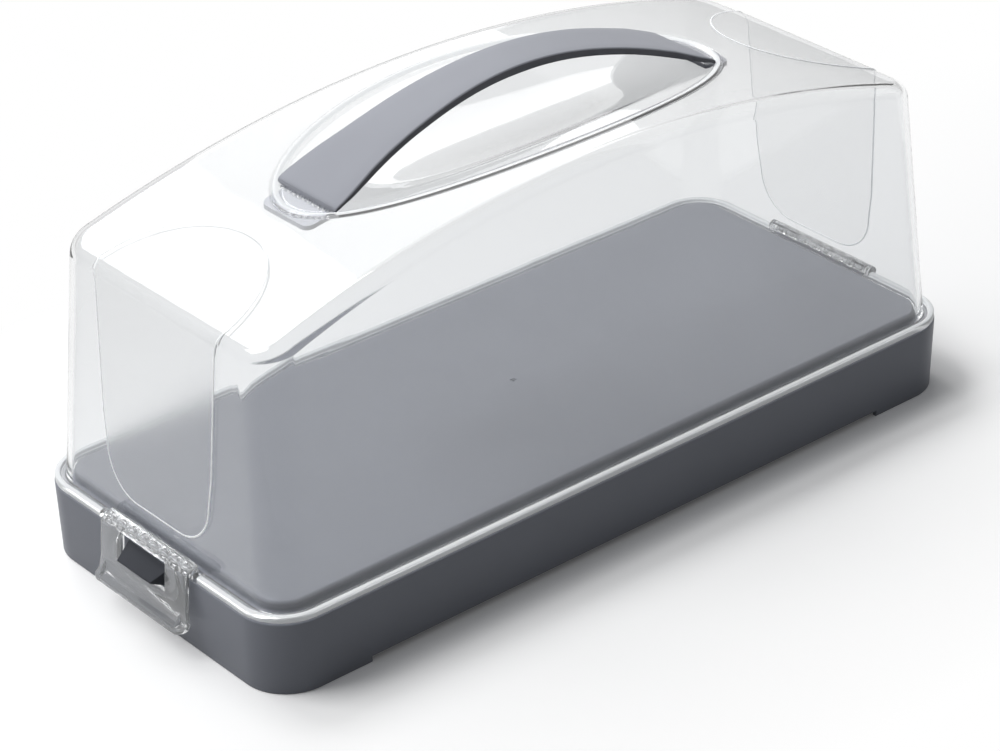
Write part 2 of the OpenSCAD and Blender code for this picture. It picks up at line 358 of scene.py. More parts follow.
def plan_point(column, half_x, half_y, radius):
    """Where a column of plan_columns meets a rounded rectangle of this size."""
    share_x, share_y, out_x, out_y = column
    return (
        share_x * (half_x - radius) + out_x * radius,
        share_y * (half_y - radius) + out_y * radius,
    )


def plan_ring(columns, half_x, half_y, radius, height):
    return [Vector((*plan_point(c, half_x, half_y, radius), height)) for c in columns]


def arc(centre_u, centre_v, radius, start, end, steps=4):
    """Points of a round stretch between two angles in degrees."""
    points = []
    for k in range(steps + 1):
        angle = math.radians(start + (end - start) * k / steps)
        points.append((centre_u + radius * math.cos(angle), centre_v + radius * math.sin(angle)))
    return points


def add_object(name, mesh):
    piece = bpy.data.objects.new(name, mesh)
    bpy.context.scene.collection.objects.link(piece)
    return piece


def object_from(name, shape):
    """Turns a bmesh into an object with its faces turned outwards."""
    bmesh.ops.remove_doubles(shape, verts=shape.verts, dist=0.001 * MM)
    bmesh.ops.recalc_face_normals(shape, faces=shape.faces)
    mesh = bpy.data.meshes.new(name)
    shape.to_mesh(mesh)
    shape.free()
    return add_object(name, mesh)


def join_rows(shape, first, second, zone=0):
    """Faces between two closed rows of vertices, with the material number zone."""
    count = len(first)
    for i in range(count):
        j = (i + 1) % count
        face = shape.faces.new((first[i], first[j], second[j], second[i]))
        face.material_index = zone


def loft(name, rings, first, last, zones=None):
    """Closed mesh over rings of equal count, shut at its ends by fans to two points.

    zones gives the material number of the faces between each ring and the next.
    """
    shape = bmesh.new()
    rows = [[shape.verts.new(point) for point in ring] for ring in rings]
    for k, (upper, lower) in enumerate(zip(rows, rows[1:])):
        join_rows(shape, upper, lower, zones[k] if zones else 0)
    for row, tip in ((rows[0], first), (rows[-1], last)):
        middle = shape.verts.new(tip)
        for corner, following in zip(row, row[1:] + row[:1]):
            shape.faces.new((corner, following, middle))
    return object_from(name, shape)


def bridge(name, *outlines):
    """Closed solid between two outlines of equal count."""
    shape = bmesh.new()
    near, far = [[shape.verts.new(point) for point in outline] for outline in outlines]
    join_rows(shape, near, far)
    shape.faces.new(near)
    shape.faces.new(far)
    return object_from(name, shape)


def prism(name, outline, low, high, place):
    """Closed bar with this outline between two ends. place turns (u, v, along) into a point."""
    return bridge(name, *([place(u, v, along) for u, v in outline] for along in (low, high)))


def across(u, v, along):
    """Outline in the XZ plane, bar along Y."""
    return Vector((u, along, v))


def upright(u, v, along):
    """Outline in plan, bar along Z."""
    return Vector((u, v, along))


def lengthwise(u, v, along):
    """Outline in the YZ plane, bar along X."""
    return Vector((along, u, v))


def both_halves(half):
    """Outline from its half at positive u, which goes from its foot to its top."""
    return half + [(-u, v) for u, v in reversed(half)]


def tongue_outline(back, reach, half, corner):
    """Plan of a strip along X whose far end has two rounded corners."""
    first = arc(reach - corner, corner - half, corner, -90, 0, 8)
    second = arc(reach - corner, half - corner, corner, 0, 90, 8)
    return [(back, -half), *first, *second, (back, half)]


# heights and distances at which a cutter has passed right through the piece
FAR = 200 * MM
BELOW_ROOF = 140 * MM


def box_outline(low_u, low_v, high_u, high_v):
    return [(low_u, low_v), (high_u, low_v), (high_u, high_v), (low_u, high_v)]


def combine(piece, tool, operation):
    """Adds a tool to a piece, cuts it out or keeps what they share, and deletes the tool."""
    modifier = piece.modifiers.new("combine", "BOOLEAN")
    modifier.operation = operation
    modifier.solver = "MANIFOLD"
    modifier.object = tool
    bake_modifiers(piece)
    bpy.data.objects.remove(tool)


def bake_modifiers(piece):
    """Puts what the modifiers make into the piece's own mesh."""
    graph = bpy.context.evaluated_depsgraph_get()
    mesh = bpy.data.meshes.new_from_object(piece.evaluated_get(graph))
    piece.modifiers.clear()
    piece.data = mesh


def add_slots(piece, count):
    """Gives a piece at least this many material slots."""
    while len(piece.data.materials) < count:
        piece.data.materials.append(None)


def paint(piece, zone, belongs=None):
    """Gives every face of a piece, or those that belong, the material number zone."""
    add_slots(piece, zone + 1)
    for face in piece.data.polygons:
        if belongs is None or belongs(face):
            face.material_index = zone


def soften(piece, width, segments=2, angle=40, zone=-1):
    """Rounds the sharp edges of a piece, and gives the rounding the material number zone."""
    modifier = piece.modifiers.new("soften", "BEVEL")
    modifier.material = zone
    modifier.width = width
    modifier.segments = segments
    modifier.limit_method = "ANGLE"
    modifier.angle_limit = math.radians(angle)
    modifier.use_clamp_overlap = True
    bake_modifiers(piece)


def put_at(side, *pieces):
    """Mirrors pieces from the right end to the left one, where that is their side."""
    if side == "left":
        for piece in pieces:
            piece.data.transform(Matrix.Scale(-1, 4, (1, 0, 0)))
            piece.data.flip_normals()


def dress(piece, materials, body, node=None, smooth=35):
    """Shades a finished piece, gives it its materials and ties it to its body."""
    add_slots(piece, len(materials))
    for number, material in enumerate(materials):
        piece.data.materials[number] = material
    piece.data.shade_smooth()
    piece.data.set_sharp_from_angle(angle=math.radians(smooth))
    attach(piece, body)
    if node:
        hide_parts(node)


# ---------------------------------------------------------------- serving base


def base_profile(s):
    """Side view of the base wall as (distance in from the rim's outside, height)."""
    rim = s.rim_height
    tray = s.tray_inset
    top = s.tray_top
    crest, root, foot = 1.6 * MM, 1.0 * MM, 0.6 * MM
    edge = 0.8 * MM
    under = rim - s.wall
    flat_from, flat_to = tray + 6 * MM, tray + 30 * MM
    return [
        (flat_to, top),
        (flat_from, top),
        *arc(tray + crest, top - crest, crest, 90, 180, 6),
        *arc(tray - root, rim + root, root, 0, -90),
        *arc(edge, rim - edge, edge, 90, 180),
        *arc(s.draft + foot, foot, foot, 180, 270),
        (s.draft + s.wall, 0),
        (s.wall, under),
        (tray + s.wall, under),
        (tray + s.wall, top - s.wall),
        (flat_to, top - s.wall),
    ]


def build_base(s, material):
    columns = plan_columns(side_steps=24, end_steps=12, corner_steps=20)
    half_x = s.rim_length / 2
    half_y = s.rim_width / 2
    least = 1 * MM
    rings = [
        plan_ring(columns, half_x - d, half_y - d, max(s.corner - d, least), z)
        for d, z in base_profile(s)
    ]
    middle = Vector((0, 0, s.tray_top))
    base = loft("base_shell", rings, middle, middle - Vector((0, 0, s.wall)))
    slot_x = half_x - s.foot_length
    slot = box_outline(-slot_x, -MM, slot_x, s.foot_height)
    combine(base, prism("foot_slot", slot, -s.rim_width, s.rim_width, across), "DIFFERENCE")
    mark_x, mark_y = 2 * MM, 1 * MM
    for radius, depth in ((1.5 * MM, 0.35 * MM), (0.6 * MM, 0.8 * MM)):
        ring = arc(mark_x, mark_y, radius, 0, 345, 23)
        mark = prism("gate_mark", ring, s.tray_top - depth, s.tray_top + MM, upright)
        combine(base, mark, "DIFFERENCE")
    dress(base, [material], "base", "base_tray", smooth=30)
    return base


def build_catch(s, material, side):
    """Wedge that the clip's window snaps over."""
    root_x = s.rim_length / 2 - s.wall / 2
    nose_x = BASE_HIGH.x
    nose_edge = 0.6 * MM
    root = box_outline(-s.catch_width / 2, s.catch_foot, s.catch_width / 2, s.catch_top)
    nose = box_outline(-s.nose_width / 2, s.nose_height, s.nose_width / 2, s.nose_height + nose_edge)
    outlines = (
        [lengthwise(y, z, x) for y, z in outline] for outline, x in ((root, root_x), (nose, nose_x))
    )
    catch = bridge(f"{side}_catch", *outlines)
    soften(catch, 0.35 * MM, segments=3)
    put_at(side, catch)
    dress(catch, [material], "base")
    return catch


# ---------------------------------------------------------------- hood


class HoodForm:
    """Works out the hood's leaning walls, arched roof and finger dish."""

    def __init__(self, hood, base):
        self.s = hood
        self.base = base
        self.foot_z = base.rim_height
        self.wall_foot = self.foot_z + 0.05 * MM
        self.flange_foot = self.foot_z + 0.2 * MM
        self.half_x = base.rim_length / 2 - hood.inset
        self.half_y = base.rim_width / 2 - hood.inset
        self.columns = plan_columns()
        top_x = self.half_x - hood.end_lean * hood.end_height
        rise = hood.crown - (base.rim_height + hood.end_height)
        self.arch = (top_x**2 + rise**2) / (2 * rise)

    def roof(self, x):
        """Height of the roof at a place along the length."""
        return self.s.crown - self.arch + math.sqrt(self.arch**2 - x**2)

    def roof_slope(self, x):
        return -x / math.sqrt(self.arch**2 - x**2)

    def wall_point(self, column, height, skin):
        """A place on the wall, drawn in by skin."""
        rise = height - self.foot_z
        return plan_point(
            column,
            self.half_x - self.s.end_lean * rise - skin,
            self.half_y - self.s.side_lean * rise - skin,
            self.s.corner - skin,
        )

    def roof_edge(self, column, skin):
        """The centre of the rounded roof edge in one column, with the angles where it starts and ends."""
        radius = self.s.roof_edge - skin
        out_x, out_y = column[2:]
        lean = self.s.end_lean * abs(out_x) + self.s.side_lean * abs(out_y)
        height = self.s.crown
        for _ in range(12):
            x, y = self.wall_point(column, height, skin)
            reach = radius * math.sqrt(1 + lean**2)
            x, y = x - out_x * reach, y - out_y * reach
            fall = -self.roof_slope(x) * out_x
            height = self.roof(x) - skin - radius * math.sqrt(1 + fall**2)
        return Vector((x, y, height)), radius, math.atan(lean), math.pi / 2 - math.atan(fall)

    def dish_profile(self, skin):
        """Rings of the dish from its middle out, as (half length, half width, depth)."""
        s = self.s
        long, wide = s.dish_length / 2 + skin, s.dish_width / 2 + skin
        crease_x = s.dish_length / 2 - s.ledge_width + 0.25 * skin
        crease_y = s.dish_width / 2 - s.ledge_width + 0.25 * skin
        ledge = s.ledge_depth
        rings = []
        for share in (0.1, 0.2, 0.32, 0.44, 0.56, 0.68, 0.78, 0.87, 0.94, 0.98, 1.0):
            depth = ledge + s.bowl_depth * (1 - share**2) ** 1.5
            rings.append((crease_x * share, crease_y * share, depth))
        rings.append((crease_x + 0.5 * MM, crease_y + 0.5 * MM, ledge))
        step = ((3.0, 1.0), (2.1, 0.94), (1.3, 0.75), (0.6, 0.45), (0.0, 0.18), (-0.6, 0.04), (-1.2, 0.0))
        for back, depth in step:
            rings.append((long - back * MM, wide - back * MM, ledge * depth))
        return rings

    def rings(self, skin, foot):
        """Rings from the dish's middle out over the roof and down the wall to foot."""
        edges = [self.roof_edge(column, skin) for column in self.columns]
        roof_ends = []
        for column, (centre, radius, low, high) in zip(self.columns, edges):
            reach = radius * math.cos(high)
            roof_ends.append((centre.x + column[2] * reach, centre.y + column[3] * reach))
        top_x = max(x for x, y in roof_ends)
        top_y = max(y for x, y in roof_ends)
        turns = [math.atan2(y / top_y, x / top_x) for x, y in roof_ends]
        roof_steps, edge_steps, wall_steps = 12, 10, 12
        rings = []
        for long, wide, depth in self.dish_profile(skin):
            places = [(long * math.cos(turn), wide * math.sin(turn)) for turn in turns]
            rings.append([Vector((x, y, self.roof(x) - depth - skin)) for x, y in places])
        dish_edge = rings[-1]
        for k in range(1, roof_steps):
            share = k / roof_steps
            places = [start.xy.lerp(Vector(end), share) for start, end in zip(dish_edge, roof_ends)]
            rings.append([Vector((*place, self.roof(place.x) - skin)) for place in places])
        for k in range(edge_steps + 1):
            ring = []
            for column, (centre, radius, low, high) in zip(self.columns, edges):
                angle = high + (low - high) * k / edge_steps
                out = Vector((column[2], column[3], 0)) * (radius * math.cos(angle))
                ring.append(centre + out + Vector((0, 0, radius * math.sin(angle))))
            rings.append(ring)
        wall_top = rings[-1]
        for k in range(1, wall_steps + 1):
            ring = []
            for column, start in zip(self.columns, wall_top):
                height = start.z + (foot - start.z) * k / wall_steps
                ring.append(Vector((*self.wall_point(column, height, skin), height)))
            rings.append(ring)
        return rings

    def solid(self, name, skin):
        """The hood's form as one filled block, drawn in by skin."""
        rings = self.rings(skin, self.foot_z)
        dish = self.s.ledge_depth + self.s.bowl_depth
        top = Vector((0, 0, self.s.crown - dish - skin))
        return loft(name, rings, top, Vector((0, 0, self.foot_z)))


# EDGE faces get the milky edge finish, whose emission is a painted glow
CLEAR, FROSTED, EDGE, THICK = range(4)
RIM_FILLET = 0.5 * MM


def rim_profile(form):
    """Side view of the hood's rim as (distance in from the base wall's outside, height, zone)."""
    s = form.s
    foot = form.wall_foot
    under = form.flange_foot
    groove = under + s.flange
    top = form.foot_z + s.bead_height
    outer = s.bead_inset
    inner = outer + s.bead_width
    crest, fillet, lip = 0.7 * MM, RIM_FILLET, 0.3 * MM
    bends = (
        (arc(s.inset - fillet, groove + fillet, fillet, 0, -90), THICK),
        (arc(inner + fillet, groove + fillet, fillet, -90, -180), EDGE),
        (arc(inner - crest, top - crest, crest, 0, 90), EDGE),
        (arc(outer + crest, top - crest, crest, 90, 180), EDGE),
        (arc(outer + lip, under + lip, lip, 180, 270, 2), THICK),
        ([(s.inset, under), (s.inset, foot)], THICK),
    )
    return [(d, z, zone) for points, zone in bends for d, z in points]


# the end panel lies on the roof as half an oval: where that starts, its length and half its width
PANEL_TOP = 178 * MM
PANEL_WRAP = (46 * MM, 42 * MM)
# half the panel's width where the wall turns into the roof
PANEL_EDGE = 39.9 * MM


def panel_half_outline():
    """Half of the end panel's outline on the short wall, as (y, height) from its foot to its top."""
    low, corner, half_low = 47 * MM, 20 * MM, 34.5 * MM
    bend = arc(half_low - corner, low + corner, corner, -90, 0, 12)
    return bend + [(36.5 * MM, 80 * MM), (39.5 * MM, 134 * MM), (PANEL_WRAP[1], 146 * MM)]


def end_panel(form, grown):
    """Cover that makes one end panel: down the wall and over the end of the roof."""
    high = form.s.crown
    outline = both_halves(panel_half_outline() + [(PANEL_WRAP[1], high)])
    inner_x, roof_z = 165 * MM, 125 * MM
    panel = prism("panel_cutter", outline, inner_x, FAR, lengthwise)
    wall_only = box_outline(PANEL_TOP, -form.half_y, FAR, form.half_y)
    combine(panel, prism("wall_part", wall_only, form.foot_z, high, upright), "INTERSECT")
    over = [(PANEL_TOP - x, y) for x, y in half_ellipse(*PANEL_WRAP)]
    roof_part = prism("roof_part", over, roof_z, high, upright)
    combine(panel, roof_part, "UNION")
    combine(panel, form.solid("panel_skin", -grown), "INTERSECT")
    combine(panel, form.solid("panel_core", form.s.wall / 2), "DIFFERENCE")
    paint(panel, CLEAR)
    paint(panel, FROSTED, lambda face: face.normal.z < 0.7)
    return panel


def panel_path(form, skin):
    """Closed line round one end panel, drawn in by skin, with the way out of the surface."""
    centre, radius, low, high = form.roof_edge((1, 0, 1, 0), skin)
    lean = Vector((math.cos(low), 0, math.sin(low)))
    half = []
    for y, z in panel_half_outline()[:-1]:
        x, _ = form.wall_point((1, 0, 1, 0), z, skin)
        half.append((Vector((x, y, z)), lean))
    wrap_x, wrap_y = PANEL_WRAP
    edge_steps, roof_steps = 8, 32
    for k in range(edge_steps + 1):
        angle = low + (high - low) * k / edge_steps
        out = Vector((math.cos(angle), 0, math.sin(angle)))
        place = Vector((centre.x, 0, centre.z)) + out * radius
        place.y = PANEL_EDGE + (wrap_y - PANEL_EDGE) * k / edge_steps
        half.append((place, out))
    start = half[-1][0].x
    turn = math.asin((PANEL_TOP - start) / wrap_x) if PANEL_TOP > start else 0
    for k in range(1, roof_steps + 1):
        angle = turn + (math.pi / 2 - turn) * k / roof_steps
        x = PANEL_TOP - wrap_x * math.sin(angle)
        slope = form.roof_slope(x)
        out = Vector((-slope, 0, 1)).normalized()
        half.append((Vector((x, wrap_y * math.cos(angle), form.roof(x) - skin)), out))
    other = [(Vector((p.x, -p.y, p.z)), out) for p, out in reversed(half[:-1])]
    return half + other


def build_panel_rib(form, material, side):
    """Fine raised line that frames an end panel."""
    path = panel_path(form, -form.s.panel_step + 0.12 * MM)
    flatness = 0.5
    shape = bmesh.new()
    rows = []
    for k, (place, out) in enumerate(path):
        along = (path[(k + 1) % len(path)][0] - path[k - 1][0]).normalized()
        beside = along.cross(out).normalized()
        section = arc(0, 0, form.s.panel_rib, 0, 315, 7)
        rows.append([shape.verts.new(place + beside * u + out * v * flatness) for u, v in section])
    for row, following in zip(rows, rows[1:] + rows[:1]):
        join_rows(shape, row, following)
    rib = object_from(f"{side}_panel_rib", shape)
    put_at(side, rib)
    dress(rib, [material], "hood", smooth=80)
    return rib


def half_ellipse(long, wide, steps=40):
    points = []
    for k in range(steps + 1):
        angle = math.pi * (k / steps - 0.5)
        points.append((long * math.cos(angle), wide * math.sin(angle)))
    return points


def strap_slot(strap, side):
    """Cutter for one of the slots that the strap's ends go through, with its toothed outer edge."""
    outer = strap.slot
    inner = outer - strap.slot_length
    half = strap.tab_width / 2 + 0.4 * MM
    teeth = 10
    pitch = 2 * half / teeth
    bite = 1.1 * MM
    # one tooth, as (distance in from the outer edge, share of the pitch)
    tooth = ((0, 0), (0, 0.5), (bite, 0.55), (bite, 0.95))
    edge = [(outer - back, (k + share) * pitch - half) for k in range(teeth) for back, share in tooth]
    outline = [(inner, half), (inner, -half), *edge, (outer, half)]
    cutter = prism("strap_slot", outline, BELOW_ROOF, 185 * MM, upright)
    paint(cutter, EDGE)
    put_at(side, cutter)
    return cutter


def round_bar(name, x, z, radius, low, high, steps=32):
    """Bar along Y."""
    return prism(name, arc(x, z, radius, 0, 360 - 360 / steps, steps - 1), low, high, across)


def build_hood(form, clip, strap, materials):
    s = form.s
    outside = form.rings(0, form.flange_foot + s.flange + RIM_FILLET)[:-1]
    zones = [CLEAR] * len(outside)
    outline = len(form.dish_profile(0)) - 1
    zones[outline - 4 : outline] = [EDGE] * 4
    half_x, half_y = form.base.rim_length / 2, form.base.rim_width / 2
    bead_corner = form.base.corner - s.bead_inset
    growth = (bead_corner - s.corner) / (s.inset - s.bead_inset)
    rings = list(outside)
    for d, z, zone in rim_profile(form):
        radius = s.corner + (s.inset - d) * growth
        rings.append(plan_ring(form.columns, half_x - d, half_y - d, radius, z))
        zones.append(zone)
    inside = form.rings(s.wall, form.wall_foot)
    rings += reversed(inside)
    zones += [CLEAR] * len(inside)
    dish = s.ledge_depth + s.bowl_depth
    top = Vector((0, 0, s.crown - dish))
    hood = loft("hood_shell", rings, top, top - Vector((0, 0, s.wall)), zones)
    add_slots(hood, len(materials))
    half = clip.width / 2 + 0.4 * MM
    gap = box_outline(form.half_x + 0.3 * MM, form.foot_z, FAR, form.foot_z + 6 * MM)
    cheek, cheek_radius = 2.4 * MM, clip.hook - 0.2 * MM
    for side in ("left", "right"):
        rod = round_bar("rod", clip.rod_x, clip.rod_z, clip.rod, -half - cheek, half + cheek)
        cheeks = [
            round_bar("cheek", clip.rod_x, clip.rod_z, cheek_radius, low, low + cheek)
            for low in (-half - cheek, half)
        ]
        cutter = prism("clip_gap", gap, -half, half, across)
        panel = end_panel(form, s.panel_step)
        for tool in (rod, *cheeks, cutter):
            paint(tool, THICK)
        put_at(side, rod, *cheeks, cutter, panel)
        combine(hood, cutter, "DIFFERENCE")
        combine(hood, strap_slot(strap, side), "DIFFERENCE")
        for tool in (rod, *cheeks, panel):
            combine(hood, tool, "UNION")
    dress(hood, materials, "hood", "hood", smooth=30)
    return hood


# ---------------------------------------------------------------- strap


# how much of the flare's width is reached at each share of the way to a shoulder
FLARE = ((0, 0), (0.12, 0.02), (0.24, 0.07), (0.36, 0.155), (0.48, 0.26), (0.6, 0.36), (0.7, 0.48))
FLARE += ((0.78, 0.63), (0.84, 0.77), (0.9, 0.9), (0.95, 0.98), (1, 1))
# the strap's zones: its top, its sides and underside darkened as painted shade, and its hidden ends
# lightened as painted light
STRAP_TOP, STRAP_PAINTED_SHADE, STRAP_END_PAINTED_LIGHT = range(3)


def ramp(value, start, end):
    """Rises from 0 at start to 1 at end."""
    return min(max((value - start) / (end - start), 0), 1)


def between(table, place):
    """Value of a table of (place, value) at a place."""
    for (low, first), (high, second) in zip(table, table[1:]):
        if place <= high:
            return first + (second - first) * (place - low) / (high - low)
    return table[-1][1]


def strap_section(half_width, depth):
    """Cross-section of the strap below its top line, as (y, height), with rounded edges."""
    round_top = min(0.9 * MM, 0.4 * depth)
    round_foot = min(0.5 * MM, 0.3 * depth)
    right = arc(half_width - round_foot, round_foot - depth, round_foot, -90, 0, 3)
    right += arc(half_width - round_top, -round_top, round_top, 0, 90, 4)
    left = [(-y, z) for y, z in reversed(right)]
    return right + [(half_width * 0.5, 0.0), (0.0, 0.0), (-half_width * 0.5, 0.0)] + left


def strap_arch(form, strap):
    """The visible band: narrow in the middle, flared and thinner towards its shoulders."""
    s = form.s
    reach = strap.slot - MM
    clearance = 0.3 * MM
    end_z = form.roof(reach) - s.ledge_depth + strap.shoulder_depth + clearance
    pull = 1.22
    upright_from, rounded_from = 0.93, 0.976
    sink, slim, narrow = 1.0 * MM, 0.7 * MM, 0.5 * MM
    half_places = [k / 40 for k in range(39)] + [0.97, 0.976, 0.982, 0.988, 0.993, 0.997, 1.0]
    rings = []
    for place in [-share for share in reversed(half_places[1:])] + half_places:
        x = reach * place
        share = abs(place)
        u = share**2
        fall = strap.top - end_z
        height = strap.top - fall * u * (pull - (pull - 1) * u)
        slope = -fall * (2 * pull * share - 4 * (pull - 1) * share**3) / reach * (1 if x > 0 else -1)
        flare = between(FLARE, share)
        half = (strap.middle_width + (strap.shoulder_width - strap.middle_width) * flare) / 2
        thinning = ramp(share, 0, 0.6)
        depth = strap.middle_depth + (strap.shoulder_depth - strap.middle_depth) * thinning
        rounding = 1 - math.sqrt(1 - ramp(share, rounded_from, 1) ** 2)
        thin = 1.1 * MM * ramp(share, 0.8, 0.98)
        height -= thin + sink * rounding
        depth -= thin + slim * rounding
        half -= narrow * rounding
        down = Vector((slope, 0, -1)).normalized() if share < upright_from else Vector((0, 0, -1))
        top = Vector((x, 0, height))
        ring = [top + Vector((0, y, 0)) - down * z for y, z in strap_section(half, depth)]
        rings.append(ring)
    ends = [sum(ring, Vector()) / len(ring) for ring in (rings[0], rings[-1])]
    return loft("strap_band", rings, *ends), end_z


def strap_end(form, strap, end_z, side):
    """Neck that drops through a slot, with the flat tab under the roof behind it."""
    s = form.s
    drop = s.ledge_depth + s.wall + 0.3 * MM
    outer = strap.slot - MM
    inner = outer - 3 * MM
    neck_top = end_z - 1.5 * MM
    reach = STRAP_HIGH.x
    places = [outer + (reach - outer) * k / 6 for k in range(7)]
    upper = [(x, form.roof(x) - drop) for x in places]
    lower = [(x, form.roof(x) - drop - strap.tab_depth) for x in reversed([inner, *places])]
    outline = [(inner, neck_top), (outer - 0.2 * MM, neck_top), *upper, *lower]
    half = strap.tab_width / 2
    tab = prism("strap_end", outline, -half, half, across)
    plan = tongue_outline(inner - MM, reach, half, strap.tab_round)
    combine(tab, prism("plan", plan, BELOW_ROOF, FAR, upright), "INTERSECT")
    put_at(side, tab)
    return tab


def build_strap(form, strap, materials):
    piece, end_z = strap_arch(form, strap)
    for side in ("left", "right"):
        combine(piece, strap_end(form, strap, end_z, side), "UNION")
    past_slot = strap.slot - 0.8 * MM
    paint(piece, STRAP_TOP)
    # painted shade: the sides and underside get a darker copy of the strap's plastic
    paint(piece, STRAP_PAINTED_SHADE, lambda face: face.normal.z < 0.3 and abs(face.normal.x) < 0.8)
    # painted light: the ends under the clear roof get a paler copy, for the roof's sheen over them
    paint(piece, STRAP_END_PAINTED_LIGHT, lambda face: abs(face.center.x) > past_slot)
    dress(piece, materials, "hood", "carry_strap", smooth=50)
    return piece


# ---------------------------------------------------------------- clips


def clip_outline(s):
    """Side view of the clip round the rod's centre: top skin, leaning plate and lower lip."""
    out = s.plate_out
    tip = out + s.lip
    lean = 2.0 * MM
    fold = s.drop - 2.0 * MM
    skin = 1.1 * MM
    inner, crest = -2.3 * MM, 3.35 * MM
    return [
        (inner, crest - skin),
        (inner, crest),
        (out - 0.8 * MM, 1.15 * MM),
        (out - 0.2 * MM, 0.7 * MM),
        (out, 0.0),
        (out + lean, -fold),
        (out + lean + 0.6 * MM, -fold - 1.2 * MM),
        (tip - 0.6 * MM, -0.1 * MM - s.drop),
        (tip, -0.5 * MM - s.drop),
        (tip, -1.6 * MM - s.drop),
        (out + lean - 0.6 * MM, -fold - 2.7 * MM),
        (out + lean - s.plate, -fold - 0.6 * MM),
        (out - s.plate, -0.2 * MM),
        (out - s.plate - 0.5 * MM, 1.3 * MM),
    ]


def clip_hook(s, y, width):
    """One hook: a ring round the rod, finer than the solid's, with a mouth at its lower inner side."""
    steps = 26
    start, end = 250 - 360, 200
    finer = 0.45 * MM
    outer = arc(s.rod_x, s.rod_z, s.hook - finer, start, end, steps)
    inner = arc(s.rod_x, s.rod_z, s.bore, end, start, steps)
    return prism("hook", outer + inner, y - width / 2, y + width / 2, across)


def build_clip(s, materials, side):
    half = s.width / 2
    spread = 1.1 * MM
    outline = [(s.rod_x + u, s.rod_z + v) for u, v in clip_outline(s)]
    clip = prism(f"{side}_clip_moulding", outline, -half - spread, half + spread, across)
    face = s.rod_x + s.plate_out
    reach = face + s.lip
    behind = s.rod_x - 5 * MM
    over = 45 * MM
    fold = s.rod_z - s.drop
    wide = half + spread
    plan = tongue_outline(behind, reach, wide, 4 * MM)
    combine(clip, prism("plan", plan, 5 * MM, over, upright), "INTERSECT")
    front = [(wide, fold - 3 * MM), (wide, fold + 2 * MM), (half, fold + 7 * MM), (half, over)]
    combine(clip, prism("front", both_halves(front), behind, reach + MM, lengthwise), "INTERSECT")
    bore = round_bar("bore", s.rod_x, s.rod_z, s.bore, -wide - MM, wide + MM)
    combine(clip, bore, "DIFFERENCE")
    top = s.rod_z + 0.2 * MM
    window = box_outline(s.rod_x + 1.6 * MM, top - s.window_height, s.rod_x + 8 * MM, top)
    cutter = prism("window", window, -s.window_width / 2, s.window_width / 2, across)
    combine(clip, cutter, "DIFFERENCE")
    pitch = s.width / s.hooks
    for k in range(s.hooks):
        combine(clip, clip_hook(s, (k + 0.5) * pitch - half, pitch * 0.55), "UNION")
    root = face + 0.6 * MM
    rib = [(root, fold + 8 * MM), (face + 5.4 * MM, fold - 0.2 * MM), (root, fold)]
    rib_place, rib_half = half - 3.2 * MM, 0.4 * MM
    for y in (-rib_place, rib_place):
        combine(clip, prism("rib", rib, y - rib_half, y + rib_half, across), "UNION")
    add_slots(clip, len(materials))
    # the rounding gets the clip's edge finish, whose painted glow stands in for highlights on its edges
    soften(clip, 0.25 * MM, zone=len(materials) - 1)
    put_at(side, clip)
    dress(clip, materials, f"{side}_clip", f"{side}_clip")
    return clip


# ---------------------------------------------------------------- stage


WHITE = (1, 1, 1)


def floor_material(tint):
    """Floor that keeps the shadow beside the carrier, is plain white further away and lights little."""
    material = new_material("floor_white")
    shader = Shader(material.node_tree)
    near = shader.simple("BsdfDiffuse", tint)
    white = shader.simple("Emission", WHITE, Strength=1.0)
    spread = shader.node("TexCoord")["Object"]
    spread = shader.node("VectorMath", {"operation": "MULTIPLY"}, spread, (0.45, 1, 1))["Vector"]
    away = shader.wire("VectorMath", "Value", {"operation": "LENGTH"}, Vector=spread)
    shadow_reach, fade, least = 0.11, 7.0, 0.03
    beyond = ((away - shadow_reach) * fade).at_most(1.0).either(least)
    plain = shader.simple("BsdfDiffuse", (0.34, 0.34, 0.34))
    shown = shader.ray("Camera").either(shader.ray("Glossy")).either(shader.ray("Transmission"))
    seen = shader.blend_shaders(beyond, near, white)
    shader.finish(shader.blend_shaders(shown, plain, seen))
    return material


def light_world():
    """Dim sky that looks white to the camera, and to plastic that mirrors it from above."""
    world = bpy.data.worlds.new("studio")
    bpy.context.scene.world = world
    world.use_nodes = True
    shader = Shader(world.node_tree)
    lit = shader.simple("Background", (0.95, 0.97, 1.0), Strength=0.2)
    white = shader.simple("Background", WHITE, Strength=1.0)
    way = shader.node("TexCoord")["Generated"]
    height = shader.wire("SeparateXYZ", "Z", Vector=way)
    level, rise = 0.62, 0.9
    shine = (height * rise + level).at_most(1.0)
    mirrored = shader.simple("Background", WHITE, Strength=shine)
    indirect = shader.ray("Glossy").either(shader.ray("Transmission"))
    sky = shader.blend_shaders(indirect, lit, mirrored)
    shader.finish(shader.blend_shaders(shader.ray("Camera"), sky, white), "OutputWorld")


def add_lamp(name, place, target, size, power, mirrored=True):
    """Softbox at a place, turned to a target. Where it isn't mirrored, it lights but has no glint."""
    lamp = bpy.data.lights.new(name, "AREA")
    lamp.shape = "RECTANGLE"
    lamp.size, lamp.size_y = size
    lamp.energy = power
    holder = bpy.data.objects.new(name, lamp)
    holder.location = place
    holder.visible_glossy = mirrored
    holder.rotation_euler = (Vector(target) - Vector(place)).to_track_quat("-Z", "Y").to_euler()
    bpy.context.scene.collection.objects.link(holder)


